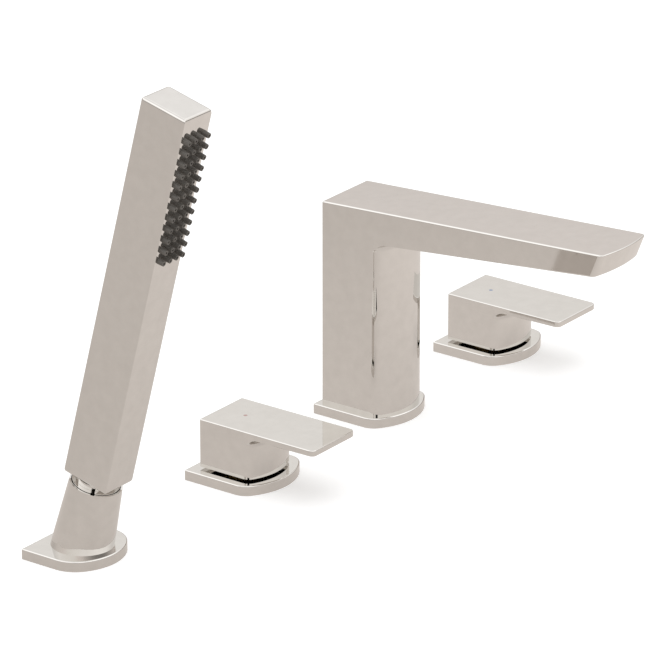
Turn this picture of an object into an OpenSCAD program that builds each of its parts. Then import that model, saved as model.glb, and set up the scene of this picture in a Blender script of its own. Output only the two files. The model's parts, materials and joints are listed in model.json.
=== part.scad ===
// Deck-mounted bath shower mixer: two lever valves, a bath spout and a handset in a leaning holder.
// Millimetres. Z is up and z = 0 is the deck surface, X runs along the row from the holder to the
// cold valve, and the spout and levers point to -Y. The origin is the spout's axis at the deck.

/* [Row] */
// spout axis to the hot valve's axis
hot_pitch = 114; // [95:1:160]
// spout axis to the cold valve's axis
cold_pitch = 112; // [95:1:160]
// spout axis to the handset holder's axis, along the row
holder_pitch = 245; // [200:1:320]
// how far the holder stands behind the line of the valves
holder_setback = 4.8; // [0:0.1:12]
// thickness of the deck that the washers clamp
deck_t = 20; // [5:1:30]

/* [Base plates] */
// width of the spout's and the valves' plates
plate_w = 50; // [46:0.5:60]
// axis to the flat rear edge
plate_back = 21.8; // [21:0.1:28]
// axis to the front of the rounded edge
plate_front = 26.8; // [25:0.1:32]
// width of the holder's plate
holder_plate_w = 48.4; // [44:0.1:60]
// axis to the holder plate's flat rear edge
holder_plate_back = 21.1; // [20.5:0.1:28]
// axis to the holder plate's rounded front
holder_plate_front = 21; // [20.5:0.1:30]
// radius of the holder plate's front corners
holder_plate_corner_r = 17.6; // [8:0.1:20]
// radius of the holder plate's front edge
holder_plate_front_r = 28.6; // [27:0.1:50]
// thickness of the plates
plate_t = 5.6; // [4:0.1:8]
// radius of the front corners
plate_corner_r = 10; // [4:0.5:12]
// radius of the front edge
plate_front_r = 35; // [30:0.5:60]
// bevel round the top edge
plate_bevel = 0.8; // [0.3:0.1:1.5]

/* [Base seals] */
// middle radius of the rubber ring under each plate
seal_r = 17.4; // [16.5:0.1:18]
// radial width of the ring
seal_w = 3; // [2:0.1:4]
// height of the ring
seal_t = 2; // [1:0.1:3]

/* [Levers] */
// width of the lever
lever_w = 37; // [34:0.5:44]
// axis to the flat rear face
lever_back = 16.4; // [16:0.1:19]
// axis to the blade's tip
lever_reach = 58.3; // [45:0.5:75]
// height of the lever's top above the deck
lever_top = 33.8; // [32:0.1:40]
// thickness of the blade
blade_t = 3.4; // [2:0.1:4]
// radius of the blade's tip corners
tip_r = 2.5; // [1:0.5:6]
// axis to the block's rounded front
block_front = 20.8; // [19:0.1:24]
// radius of the block's front corners
block_corner_r = 5.7; // [2:0.1:8]
// radius of the block's front face
block_front_r = 32.9; // [30:0.1:60]
// hollow fillet between the block and the blade
lever_fillet = 6; // [2:0.5:6]
// air gap between the lever and its plate
lever_gap = 1.2; // [0.4:0.1:2]
// bevel along the lever's top edges
lever_bevel = 0.5; // [0.2:0.1:1]
// radius of the inlaid hot or cold spot
index_r = 1.1; // [0.8:0.1:3]
// depth of the spot's inlay
index_t = 0.6; // [0.3:0.1:1]

/* [Valves] */
// thread radius of the valve's neck
neck_r = 11; // [10:0.1:11.5]
// radius of the cartridge in the neck
cartridge_r = 8.5; // [8:0.1:9]
// height of the neck above its plate
neck_above = 4.4; // [4:0.1:6]
// outer radius of the clamping ring on the plate
ring_r = 13.3; // [12.8:0.1:13.4]
// height of the clamping ring
ring_t = 3.4; // [2:0.1:3.8]
// height of the cartridge's hexagon
hex_t = 4; // [3:0.5:5]
// radius of the round nose above the hexagon
nose_r = 7; // [6:0.1:8]
// height of the nose
nose_t = 3.6; // [2:0.1:4]
// radius of the spindle
spindle_r = 4; // [3:0.1:4.5]
// running clearance of the spindle in the cartridge
spindle_clearance = 0.05; // [0.02:0.01:0.09]
// outer radius of the adapter between spindle and lever
adapter_r = 6.5; // [5.5:0.1:7.5]
// height of the adapter
adapter_h = 11; // [8:0.5:11.5]
// thickness of each ceramic disc
disc_t = 3; // [2:0.5:4]
// radius of the turning disc
disc_r = 7; // [6:0.1:7]
// deck surface down to the underside of the fixed disc
disc_depth = 50; // [46:1:60]
// radius of the valve's lower chamber
chamber_r = 11; // [10:0.1:12]
// outer radius of the lower body
lower_r = 15; // [14:0.5:18]
// deck surface down to the side outlet's axis
outlet_depth = 51; // [49:1:62]
// length of the side outlet's thread beyond its collar
outlet_len = 14; // [12:1:20]

/* [Threaded tails] */
// radius of a half-inch pipe thread's crest
tail_r = 10.48; // [10.3:0.01:10.6]
// bore of the tails
tail_bore = 6.5; // [5:0.1:7]
// length of the valve inlet tails
tail_len = 16; // [12:1:24]
// length of the threaded end that takes the spout's supply
supply_len = 16; // [12:1:20]
// deck surface down to the end of the spout's and holder's tubes
tube_depth = 60; // [54:1:90]
// radial clearance of every plate's hole round its neck
hole_clearance = 0.2; // [0.1:0.05:0.5]

/* [Deck clamps] */
// thickness of the rubber washers
rubber_t = 2; // [1:0.5:4]
// thickness of the steel washers
washer_t = 1.6; // [1:0.1:3]
// width of the washers beyond the thread
washer_w = 7; // [5:0.5:10]
// height of the back nuts
nut_t = 8; // [6:0.5:12]
// width of a nut's wall at its flats
nut_w = 4; // [3:0.5:6]

/* [Spout] */
// width of the spout
spout_w = 41; // [36:0.5:46]
// axis to the column's flat rear face
column_back = 19.3; // [18:0.1:21]
// axis to the column's rounded front
column_front = 23.9; // [19:0.1:25]
// radius of the column's front corners
column_corner_r = 6.5; // [5.5:0.5:10]
// radius of the column's front face
column_front_r = 33; // [30:0.5:60]
// height of the top at the rear face
spout_h = 122; // [90:1:180]
// rise of the arm in degrees
arm_rise = 2.95; // [0:0.05:8]
// axis to the tip of the nose
spout_reach = 164; // [130:1:220]
// thickness of the arm where it leaves the column
arm_root_t = 18.4; // [15:0.1:24]
// thickness of the arm at the nose
arm_tip_t = 12.8; // [11.5:0.1:16]
// how far the nose slants back under its tip
nose_slant = 5; // [0:0.5:10]
// radius of the nose's front
nose_front_r = 84.5; // [40:0.5:150]
// radius of the nose's corners
nose_corner_r = 2.5; // [1:0.5:8]
// hollow fillet between column and arm
spout_fillet = 5; // [2:0.5:5.5]
// bevel along the arm's top edges
spout_bevel = 0.6; // [0.2:0.1:1.2]
// wall of the hollow column
column_wall = 4; // [3:0.5:6]
// top of the hollow below the arm's top
column_roof = 30; // [26:1:40]
// depth that the riser tube screws into the column's roof
riser_grip = 12; // [8:1:16]
// bore of the riser tube
riser_bore = 7.5; // [5:0.1:8]
// radius of the waterway in the arm
arm_bore = 4.2; // [3:0.1:4.5]

/* [Spray insert of the spout] */
// tip of the nose back to the outlet's axis
outlet_setback = 25; // [18:1:40]
// radius of the insert
insert_r = 10.5; // [8:0.1:12]
// height of the insert
insert_h = 6; // [4:0.1:7]
// wall of the insert's shell
insert_wall = 1.2; // [0.8:0.1:2]
// thickness of the rubber ring above the insert
insert_ring_t = 1.4; // [1:0.1:2]
// bars of the flow grid each way
grid_bars = 5; // [2:1:8]
// thickness of one grid bar
grid_bar_t = 0.8; // [0.5:0.1:1.2]

/* [Handset holder] */
// lean of the holder and handset towards the front, in degrees
lean = 14.3; // [5:0.1:20]
// radius of the tube where it meets its plate
holder_base_r = 16.2; // [15.6:0.1:20]
// radius of the tube at its rim
holder_rim_r = 13.85; // [13.5:0.05:17]
// length of the tube along its axis
holder_len = 37.8; // [32:0.1:60]
// radius of the holder's threaded tube under the plate
holder_tube_r = 14; // [13:0.1:14]
// bore of the threaded tube, which the hose passes
holder_bore = 11.4; // [10:0.1:12]
// height that the threaded tube reaches into the holder
holder_grip = 5; // [3:0.5:5]
// wall of the holder's tube at the rim
rim_wall = 0.9; // [0.7:0.05:1.5]
// clearance of the liner in the tube
liner_clearance = 0.06; // [0.03:0.01:0.09]
// wall of the liner at its lip
liner_wall = 0.9; // [0.8:0.05:1.5]
// height of the liner
liner_h = 20; // [16:0.5:24]

/* [Handset] */
// width of the handset across its spray face
handset_w = 22; // [21:0.5:30]
// depth of the handset
handset_d = 28.2; // [25:0.1:34]
// length of the handset's bar
handset_len = 218.7; // [160:1:260]
// gap between the holder's rim and the bar
handset_gap = 3.3; // [1:0.1:8]
// bevel along the bar's edges
handset_bevel = 0.8; // [0.2:0.1:0.9]
// wall of the bar
handset_wall = 2.2; // [1.5:0.1:3]
// length of the handset's threaded inlet inside the hose nut
inlet_len = 9; // [6:0.5:10]
// radius of the plug that holds the inlet in the bar
plug_r = 8; // [6:0.1:9]
// depth of the plug in the bar
plug_h = 5; // [3:0.5:8]
// bore of the inlet
inlet_bore = 6; // [4:0.1:6.5]

/* [Hose nut] */
// height of the nut's cone in the liner
cone_h = 9; // [6:0.5:12]
// taper of the cone in radius
cone_taper = 0.5; // [0.2:0.1:0.7]
// clearance between the nut's cone and the liner
cone_clearance = 0.08; // [0.03:0.01:0.2]
// height of the collar that rests on the liner
collar_h = 1.2; // [0.8:0.1:2]
// width of the collar beyond the cone
collar_w = 0.7; // [0.4:0.1:0.8]
// length of the nut below the collar
nut_len = 20; // [17:0.5:24]
// swivel clearance of the inlet in the nut
swivel_clearance = 0.05; // [0.02:0.01:0.09]
// thickness of the sealing washer
hose_washer_t = 1.8; // [1:0.1:2.5]
// bore for the hose's end
hose_bore = 7; // [5:0.1:8]

/* [Spray face] */
// nozzles in a row
nozzle_cols = 4; // [2:1:6]
// rows of nozzles
nozzle_rows = 12; // [4:1:20]
// nozzle pitch across the face
nozzle_pitch_x = 5.15; // [4.6:0.05:5.3]
// nozzle pitch along the face
nozzle_pitch_z = 6.2; // [4:0.1:8]
// top of the bar down to the first row
nozzle_start = 12.5; // [9:0.1:30]
// radius of a nozzle where it leaves the face
nozzle_r = 1.6; // [1.2:0.05:2]
// radius of a nozzle at its end
nozzle_tip_r = 1.4; // [1:0.05:1.6]
// how far a nozzle stands out
nozzle_out = 3.4; // [1:0.1:4]
// thickness of the spray plate
spray_t = 1.6; // [1:0.1:3]
// thickness of the rubber sheet behind it
mat_t = 1.6; // [1:0.1:3]
// margin of the spray plate beyond the end rows
spray_margin = 4.2; // [3:0.1:8]
// lip of the bar beside the spray plate
spray_lip = 1.1; // [1:0.05:1.2]

/* [Hidden] */
$fn = 96;
EPS = 0.01;
fillet_sink = 0.03;
flare_grip = 1.2;
chrome = [0.78, 0.77, 0.76];
brass = [0.78, 0.62, 0.35];
steel = [0.66, 0.67, 0.68];
rubber = [0.10, 0.10, 0.10];
nozzle_grey = [0.30, 0.29, 0.28];
ceramic = [0.90, 0.89, 0.86];
white_plastic = [0.86, 0.86, 0.84];
dark_plastic = [0.13, 0.13, 0.14];
red = [0.72, 0.18, 0.14];
blue = [0.16, 0.30, 0.62];

neck_top = plate_t + neck_above;
hex_top = neck_top + hex_t;
nose_top = hex_top + nose_t;
adapter_z = nose_top + 1;
adapter_top = adapter_z + adapter_h;
spindle_top = adapter_top - 0.5;
lever_z = plate_t + lever_gap;
blade_z = lever_top - blade_t;
cavity_r = ring_r + 0.6;
cavity_top = nose_top + 0.7;
hex_r = cartridge_r + 2.6;
screw_r = 2;
screw_len = 7;
fixed_z = -disc_depth;
moving_z = fixed_z + disc_t;
yoke_z = moving_z + disc_t;
yoke_top = yoke_z + disc_t;
inner_r = disc_r + 0.3;
inner_top = yoke_top + 8;
window_z = yoke_top - 1;
window_h = 6;
window_w = 5;
chamber_z = fixed_z;
chamber_top = window_z + window_h + 1;
disc_ring_t = 2;
seat_z = fixed_z - disc_ring_t;
lower_top = chamber_top + 3;
lower_z = -outlet_depth - tail_r - 2.5;
tail_z = lower_z - tail_len;
outlet_bore = 6.5;
outlet_collar = 2;
outlet_end = lower_r + outlet_collar + outlet_len;
collar_rise = 1.8;
clamp_z = -deck_t;
relief_w = 1.6;
relief_deep = 1;
arm_tan = tan(arm_rise);
arm_len = spout_reach - column_front;
outlet_reach = spout_reach - outlet_setback;
under_tan = arm_tan + (arm_root_t - arm_tip_t) / (arm_len - nose_slant);
column_roof_z = spout_h - column_roof;
riser_top = column_roof_z + riser_grip;
insert_angle = atan(under_tan);
insert_recess = insert_h + insert_ring_t;
liner_r = holder_rim_r - rim_wall;
liner_out = liner_r - liner_clearance;
liner_in = liner_out - liner_wall;
liner_top = holder_len - 0.6;
liner_z = liner_top - liner_h;
bar_z = holder_len + handset_gap;
bar_top = bar_z + handset_len;
cavity_h = handset_len - 3 - handset_wall;
cone_z = liner_top - cone_h;
cone_r = liner_in - cone_clearance;
nut_top = liner_top + collar_h;
nut_z = liner_top - nut_len;
inlet_z = nut_top - inlet_len;
washer_z = inlet_z - hose_washer_t;
socket_r = tail_r + swivel_clearance;
nozzle_top = bar_top - nozzle_start;
nozzle_low = nozzle_top - (nozzle_rows - 1) * nozzle_pitch_z;
spray_z = nozzle_low - nozzle_r - spray_margin;
spray_h = nozzle_top - nozzle_low + 2 * nozzle_r + 2 * spray_margin;
spray_w = handset_w - 2 * spray_lip;

function front_arc_y(front, r) = r - front;
function corner_x(w, rc) = w / 2 - rc;
function corner_y(w, front, rc, r) = front_arc_y(front, r) - sqrt(pow(r - rc, 2) - pow(corner_x(w, rc), 2));

// Height of the arm's top and underside over a place on the spout.
function arm_top(y) = spout_h + (column_back - y) * arm_tan;
function arm_under(y) = arm_top(-column_front) - arm_root_t + (-column_front - y) * under_tan;

// Block with a flat rear, straight sides and a rounded front, bevelled round its top. A flare swells
// its front outwards by a hollow fillet, up to a ceiling at z1.
module d_block(w, back, front, rc, r, z0, z1, bevel = 0, flare = 0) {
    half = w / 2;
    h = z1 - z0;
    ay = front_arc_y(front, r);
    cx = corner_x(w, rc);
    cy = corner_y(w, front, rc, r);
    side = cy + rc * (cy - ay) / cx;
    tall = flare > 0 ? h + flare_grip : h;
    if (bevel == 0)
        translate([-half, cy, z0]) cube([w, back - cy, tall]);
    else
        intersection() {
            translate([0, back, z0]) rotate([90, 0, 0]) linear_extrude(back - cy)
                bevelled_outline(half, half, h, bevel, bevel);
            translate([half, 0, z0]) rotate([90, 0, -90]) linear_extrude(w)
                bevelled_outline(back, -cy, h, bevel, 0);
        }
    intersection() {
        translate([0, ay, z0]) rounded_end(r, h, bevel, flare);
        translate([0, 0, z0]) middle_wedge(cx, cy, half, side, r + front, tall + 1);
    }
    for (s = [-1, 1])
        intersection() {
            translate([s * cx, cy, z0]) rounded_end(rc, h, bevel, flare);
            translate([0, 0, z0]) corner_wedge(s, cx, cy, half, side, tall + 1);
        }
}

module rounded_end(r, h, bevel, flare) {
    if (flare > 0)
        rotate_extrude() flared_profile(r, h, flare);
    else
        bevelled_disc(r, h, bevel);
}

// Outline of a wall from -a to b and h high, with its two top corners cut off.
module bevelled_outline(a, b, h, ca, cb) {
    if (cb == 0)
        polygon([[-a, 0], [b, 0], [b, h], [ca - a, h], [-a, h - ca]]);
    else
        polygon([[-a, 0], [b, 0], [b, h - cb], [b - cb, h], [ca - a, h], [-a, h - ca]]);
}

module bevelled_disc(r, h, bevel) {
    cylinder(r = r, h = h - bevel);
    if (bevel > 0)
        translate([0, 0, h - bevel]) cylinder(r1 = r, r2 = r - bevel, h = bevel);
}

// Wedges that share a rounded front among its middle arc and its two corners, inside the side planes.
module middle_wedge(cx, cy, half, side, far, h) {
    linear_extrude(h)
        polygon([[-cx, cy], [cx, cy], [half, side], [half, cy - far], [-half, cy - far], [-half, side]]);
}

module corner_wedge(s, cx, cy, half, side, h) {
    linear_extrude(h)
        polygon([[s * cx, cy], [s * half, cy], [s * half, side]]);
}

// Half section of a round end that flares out by f, from a wall of radius r to the ceiling at height h.
module flared_profile(r, h, f) {
    mid = [r + f, h - f + fillet_sink];
    top = mid + [0, f];
    difference() {
        polygon([[0, 0], [r, 0], [r, mid[1]], mid, top, [top[0], h + flare_grip], [0, h + flare_grip]]);
        translate(mid) circle(r = f);
    }
}

// Base plate with a hole for its neck and a groove for its seal.
module base_plate(w, back, front, corner_r, front_r, hole) {
    color(chrome) difference() {
        d_block(w, back, front, corner_r, front_r, 0, plate_t, plate_bevel);
        translate([0, 0, -1]) cylinder(r = hole + hole_clearance, h = plate_t + 2);
        translate([0, 0, -1]) tube(seal_r + seal_w / 2, seal_r - seal_w / 2, seal_t + 1);
    }
}

// Plate under the spout and the valves, which have their sizes in common.
module straight_plate(hole) {
    base_plate(plate_w, plate_back, plate_front, plate_corner_r, plate_front_r, hole);
}

module tube(outer, inner, h) {
    difference() {
        cylinder(r = outer, h = h);
        translate([0, 0, -1]) cylinder(r = inner, h = h + 2);
    }
}

module base_seal() {
    color(rubber) tube(seal_r + seal_w / 2 - 0.1, seal_r - seal_w / 2 + 0.1, seal_t);
}

// Washers and nut that clamp a neck of radius r against the underside of the deck.
module rubber_washer(r) {
    color(rubber) translate([0, 0, clamp_z - rubber_t]) tube(r + washer_w, r, rubber_t);
}

module steel_washer(r) {
    color(steel) translate([0, 0, clamp_z - rubber_t - washer_t]) tube(r + washer_w, r + 0.1, washer_t);
}

module back_nut(r) {
    color(brass) translate([0, 0, clamp_z - rubber_t - washer_t - nut_t]) difference() {
        cylinder(r = (r + nut_w) / cos(30), h = nut_t, $fn = 6);
        translate([0, 0, -1]) cylinder(r = r, h = nut_t + 2);
    }
}

// Lever: one casting of a hollow block and a thin blade.
module lever() {
    half = lever_w / 2;
    color(chrome) difference() {
        union() {
            d_block(lever_w, lever_back, block_front, block_corner_r, block_front_r, lever_z, blade_z,
                flare = lever_fillet);
            blade();
        }
        translate([0, 0, lever_z - 1]) cylinder(r = cavity_r, h = cavity_top - lever_z + 1);
        cylinder(r = adapter_r, h = adapter_top);
        translate([0, 0, lever_top - index_t]) cylinder(r = index_r, h = index_t + 1);
        translate([0, 0, adapter_z + adapter_h / 2]) rotate([-90, 0, 0])
            cylinder(r = screw_r, h = lever_back + 1);
        for (s = [-1, 1])
            translate([s * half, -lever_reach / 2, lever_top]) rotate([0, 45, 0])
                cube([lever_bevel * sqrt(2), 3 * lever_reach, lever_bevel * sqrt(2)], center = true);
        for (y = [lever_back, -lever_reach])
            translate([0, y, lever_top]) rotate([45, 0, 0])
                cube([2 * lever_w, lever_bevel * sqrt(2), lever_bevel * sqrt(2)], center = true);
    }
}

module blade() {
    half = lever_w / 2;
    translate([0, 0, blade_z]) linear_extrude(blade_t) {
        translate([-half, -lever_reach + tip_r]) square([lever_w, lever_reach + lever_back - tip_r]);
        translate([-half + tip_r, -lever_reach]) square([lever_w - 2 * tip_r, tip_r + 1]);
        for (s = [-1, 1])
            intersection() {
                translate([s * (half - tip_r), -lever_reach + tip_r]) circle(r = tip_r);
                translate([s * (half - tip_r / 2 + 0.5), -lever_reach + tip_r / 2 - 0.5])
                    square(tip_r + 1, center = true);
            }
    }
}

module index_spot(c) {
    color(c) translate([0, 0, lever_top - index_t]) cylinder(r = index_r, h = index_t);
}

module grub_screw() {
    color(steel) translate([0, adapter_r, adapter_z + adapter_h / 2]) rotate([-90, 0, 0]) difference() {
        cylinder(r = screw_r, h = screw_len);
        translate([0, 0, screw_len - 2.5]) cylinder(r = 1.15, h = 3, $fn = 6);
    }
}

module adapter() {
    color(white_plastic) translate([0, 0, adapter_z]) difference() {
        cylinder(r = adapter_r, h = adapter_h);
        translate([0, 0, -1]) cylinder(r = spindle_r, h = spindle_top - adapter_z + 1);
    }
}

// Two facing openings of a ceramic disc, turned by a.
module disc_ports(a, h) {
    for (s = [0, 180])
        rotate([0, 0, a + s]) intersection() {
            tube(disc_r - 1.2, 1.6, h);
            linear_extrude(h) polygon([[0, 0], [disc_r, -disc_r * 0.8], [disc_r, disc_r * 0.8]]);
        }
}

module spindle() {
    color(brass) {
        difference() {
            translate([0, 0, yoke_z]) cylinder(r = disc_r - 0.1, h = disc_t);
            translate([0, 0, yoke_z - 1]) disc_ports(90, disc_t + 2);
        }
        difference() {
            translate([0, 0, yoke_top - EPS]) cylinder(r = spindle_r, h = spindle_top - yoke_top + EPS);
            translate([0, 0, spindle_ring_z()]) tube(spindle_r + 1, spindle_r - 1, 2);
        }
    }
}

function spindle_ring_z() = plate_t / 2;

module spindle_ring() {
    color(rubber) translate([0, 0, spindle_ring_z()]) tube(spindle_r, spindle_r - 1, 2);
}

module moving_disc() {
    color(ceramic) translate([0, 0, moving_z]) difference() {
        cylinder(r = disc_r, h = disc_t);
        translate([0, 0, -1]) disc_ports(90, disc_t + 2);
    }
}

module fixed_disc() {
    color(ceramic) translate([0, 0, fixed_z]) difference() {
        cylinder(r = inner_r, h = disc_t);
        translate([0, 0, -1]) disc_ports(0, disc_t + 2);
    }
}

module disc_seal() {
    color(rubber) translate([0, 0, seat_z]) tube(cartridge_r, tail_bore, disc_ring_t);
}

// Cartridge body: a long sleeve from the seat to the hexagon above the plate.
module cartridge() {
    color(brass) difference() {
        union() {
            translate([0, 0, fixed_z]) cylinder(r = cartridge_r, h = neck_top - fixed_z);
            translate([0, 0, neck_top]) cylinder(r = hex_r, h = hex_t, $fn = 6);
            translate([0, 0, hex_top]) cylinder(r = nose_r, h = nose_t);
        }
        translate([0, 0, fixed_z - 1]) cylinder(r = inner_r, h = inner_top - fixed_z + 1);
        translate([0, 0, inner_top - 1])
            cylinder(r = spindle_r + spindle_clearance, h = nose_top - inner_top + 2);
        for (a = [0, 90])
            translate([0, 0, window_z + window_h / 2]) rotate([0, 0, a])
                cube([4 * cartridge_r, window_w, window_h], center = true);
    }
}

// Valve body with its inlet below and its outlet to the side.
module valve_body(side) {
    color(brass) difference() {
        union() {
            translate([0, 0, lower_top - 1]) cylinder(r = neck_r, h = neck_top - lower_top + 1);
            translate([0, 0, lower_z]) cylinder(r = lower_r, h = lower_top - lower_z);
            translate([0, 0, tail_z]) cylinder(r = tail_r, h = lower_z - tail_z + 1);
            translate([0, 0, -outlet_depth]) rotate([0, side * 90, 0]) {
                cylinder(r = tail_r + collar_rise, h = lower_r + outlet_collar);
                cylinder(r = tail_r, h = outlet_end);
            }
        }
        translate([0, 0, seat_z]) cylinder(r = cartridge_r, h = neck_top - seat_z + 1);
        translate([0, 0, chamber_z]) cylinder(r = chamber_r, h = chamber_top - chamber_z);
        translate([0, 0, tail_z - 1]) cylinder(r = tail_bore, h = seat_z - tail_z + 2);
        translate([side * (cartridge_r + 0.8), 0, -outlet_depth]) rotate([0, side * 90, 0])
            cylinder(r = outlet_bore, h = outlet_end);
    }
}

module clamp_ring() {
    color(brass) translate([0, 0, plate_t]) difference() {
        tube(ring_r, neck_r, ring_t);
        for (a = [0, 90])
            rotate([0, 0, a]) translate([0, 0, ring_t]) cube([3 * ring_r, 2.4, 2.4], center = true);
    }
}

// Spout: hollow column and arm in one casting.
module spout_body() {
    half = spout_w / 2;
    color(chrome) difference() {
        union() {
            d_block(spout_w, column_back, column_front, column_corner_r, column_front_r, plate_t,
                arm_under(-column_front - spout_fillet), flare = spout_fillet);
            intersection() {
                arm();
                nose();
            }
        }
        column(column_wall, plate_t - 1, column_roof_z);
        cylinder(r = tail_r, h = riser_top);
        cylinder(r = riser_bore, h = waterway_z(0));
        waterway();
        outlet_frame() translate([0, 0, -1]) cylinder(r = insert_r, h = insert_recess + 1);
        for (s = [-1, 1])
            translate([s * half, column_back, spout_h]) rotate([-arm_rise, 0, 0]) rotate([0, 45, 0])
                cube([spout_bevel * sqrt(2), 3 * spout_reach, spout_bevel * sqrt(2)], center = true);
        translate([0, column_back, spout_h]) rotate([45, 0, 0])
            cube([2 * spout_w, spout_bevel * sqrt(2), spout_bevel * sqrt(2)], center = true);
    }
}

// The column's outline, set in by a wall where it is hollow.
module column(wall, z0, z1) {
    rc = max(column_corner_r - wall, 1.5);
    d_block(spout_w - 2 * wall, column_back - wall, column_front - wall, rc, column_front_r - wall, z0, z1);
}

// Side outline of the arm over its whole length, from the rear face to past the nose.
module arm() {
    y0 = column_back;
    y1 = -spout_reach - 5;
    translate([spout_w / 2, 0, 0]) rotate([90, 0, -90]) linear_extrude(spout_w)
        polygon([[-y0, arm_top(y0)], [-y0, arm_under(y0)], [-y1, arm_under(y1)], [-y1, arm_top(y1)]]);
}

// Slanted, rounded end of the arm, as a long tilted block.
module nose() {
    slant = atan(nose_slant / arm_tip_t);
    translate([0, -spout_reach, arm_top(-spout_reach)]) rotate([slant, 0, 0])
        translate([0, nose_front_r + EPS, 0])
            d_block(spout_w + 2 * EPS, spout_reach, nose_front_r + EPS, nose_corner_r + EPS,
                nose_front_r + EPS, -spout_reach, spout_reach / 2);
}

// Middle line of the waterway between the arm's top and underside.
function waterway_z(y) = (arm_top(y) + arm_under(y)) / 2;

module waterway() {
    a = atan((arm_tan + under_tan) / 2);
    translate([0, 0, waterway_z(0)]) rotate([90 - a, 0, 0]) cylinder(r = arm_bore, h = outlet_reach / cos(a));
    translate([0, 0, waterway_z(0)]) sphere(r = riser_bore);
}

// Frame of the outlet: on the underside of the arm, square to it, looking down.
module outlet_frame() {
    translate([0, -outlet_reach, arm_under(-outlet_reach)]) rotate([-insert_angle, 0, 0]) children();
}

module insert_shell() {
    color(chrome) outlet_frame() difference() {
        cylinder(r = insert_r, h = insert_h);
        translate([0, 0, 1]) cylinder(r = insert_r - insert_wall, h = insert_h);
        translate([0, 0, -1]) cylinder(r = insert_r - insert_wall - 1, h = 3);
    }
}

module insert_grid() {
    r = insert_r - insert_wall;
    pitch = 2 * r / (grid_bars + 1);
    color(dark_plastic) outlet_frame() translate([0, 0, 1]) {
        tube(r, r - 1, insert_h - 2);
        intersection() {
            cylinder(r = r - 0.5, h = insert_h - 2);
            for (a = [0, 90], i = [1 : grid_bars])
                rotate([0, 0, a]) translate([-r + i * pitch - grid_bar_t / 2, -r, 0])
                    cube([grid_bar_t, 2 * r, insert_h - 2]);
        }
    }
}

module insert_ring() {
    color(rubber) outlet_frame() translate([0, 0, insert_h]) tube(insert_r, insert_r - 3, insert_ring_t);
}

module riser() {
    color(brass) translate([0, 0, -tube_depth]) difference() {
        tube(tail_r, riser_bore, tube_depth + riser_top);
        translate([0, 0, supply_len]) tube(tail_r + 1, tail_r - relief_deep, relief_w);
    }
}

// Frame of the leaning holder: its origin is where the tube's axis meets the plate's top.
module lean_frame() {
    translate([0, 0, plate_t]) rotate([lean, 0, 0]) children();
}

module holder_tube() {
    slope = (holder_rim_r - holder_base_r) / holder_len;
    color(chrome) difference() {
        intersection() {
            lean_frame() translate([0, 0, -10])
                cylinder(r1 = holder_base_r - 10 * slope, r2 = holder_rim_r, h = holder_len + 10);
            translate([0, 0, plate_t]) cylinder(r = holder_len, h = 2 * holder_len);
        }
        lean_frame() {
            translate([0, 0, liner_z]) cylinder(r = liner_r, h = holder_len);
            translate([0, 0, 2]) cylinder(r = holder_bore, h = holder_len);
        }
        translate([0, 0, plate_t - 1]) cylinder(r = holder_tube_r, h = holder_grip + 1);
        translate([0, 0, plate_t]) cylinder(r = holder_bore, h = holder_grip + 4);
    }
}

module holder_liner() {
    color(dark_plastic) lean_frame() translate([0, 0, liner_z]) difference() {
        cylinder(r = liner_out, h = liner_h);
        translate([0, 0, -1]) cylinder(r = holder_bore, h = liner_h + 2);
        translate([0, 0, cone_z - liner_z]) cylinder(r1 = liner_in - cone_taper, r2 = liner_in, h = cone_h);
    }
}

module holder_tail() {
    color(brass) translate([0, 0, -tube_depth])
        tube(holder_tube_r, holder_bore, tube_depth + plate_t + holder_grip);
}

// Bar of the handset: a hollow bar with bevelled edges and a recess for the spray plate.
module handset_body() {
    hw = handset_w / 2;
    hd = handset_d / 2;
    mid_z = bar_z + handset_len / 2;
    color(chrome) lean_frame() difference() {
        intersection() {
            translate([0, 0, bar_z]) linear_extrude(handset_len)
                cut_corners(hw, hd, handset_bevel);
            translate([0, hd, mid_z]) rotate([90, 0, 0]) linear_extrude(handset_d)
                cut_corners(hw, handset_len / 2, handset_bevel);
            translate([hw, 0, mid_z]) rotate([90, 0, -90]) linear_extrude(handset_w)
                cut_corners(hd, handset_len / 2, handset_bevel);
        }
        translate([-hw + handset_wall, -hd + spray_t + mat_t, bar_z + 3])
            cube([handset_w - 2 * handset_wall, handset_d - spray_t - mat_t - handset_wall, cavity_h]);
        translate([-spray_w / 2, -hd - 1, spray_z]) cube([spray_w, spray_t + mat_t + 1.01, spray_h]);
        translate([0, 0, bar_z - 1]) cylinder(r = plug_r, h = plug_h + 1);
    }
}

module cut_corners(a, b, c) {
    polygon([[-a, c - b], [c - a, -b], [a - c, -b], [a, c - b],
        [a, b - c], [a - c, b], [c - a, b], [-a, b - c]]);
}

// Nozzle places, each child drawn looking out of the spray face.
module nozzle_places() {
    for (i = [0 : nozzle_cols - 1], j = [0 : nozzle_rows - 1])
        translate([(i - (nozzle_cols - 1) / 2) * nozzle_pitch_x, spray_t - handset_d / 2,
            nozzle_low + j * nozzle_pitch_z]) rotate([90, 0, 0]) children();
}

module spray_plate() {
    color(chrome) lean_frame() difference() {
        translate([-spray_w / 2, -handset_d / 2, spray_z]) cube([spray_w, spray_t, spray_h]);
        nozzle_places() translate([0, 0, -1]) cylinder(r = nozzle_r, h = spray_t + 2);
    }
}

module nozzle_mat() {
    color(nozzle_grey) lean_frame() difference() {
        union() {
            translate([-spray_w / 2, -handset_d / 2 + spray_t, spray_z]) cube([spray_w, mat_t, spray_h]);
            nozzle_places() {
                translate([0, 0, -0.5]) cylinder(r = nozzle_r, h = spray_t + 0.5);
                translate([0, 0, spray_t]) cylinder(r1 = nozzle_r, r2 = nozzle_tip_r, h = nozzle_out);
            }
        }
        nozzle_places() translate([0, 0, -mat_t - 1]) cylinder(r = 0.6, h = mat_t + spray_t + nozzle_out + 2);
    }
}

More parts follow.
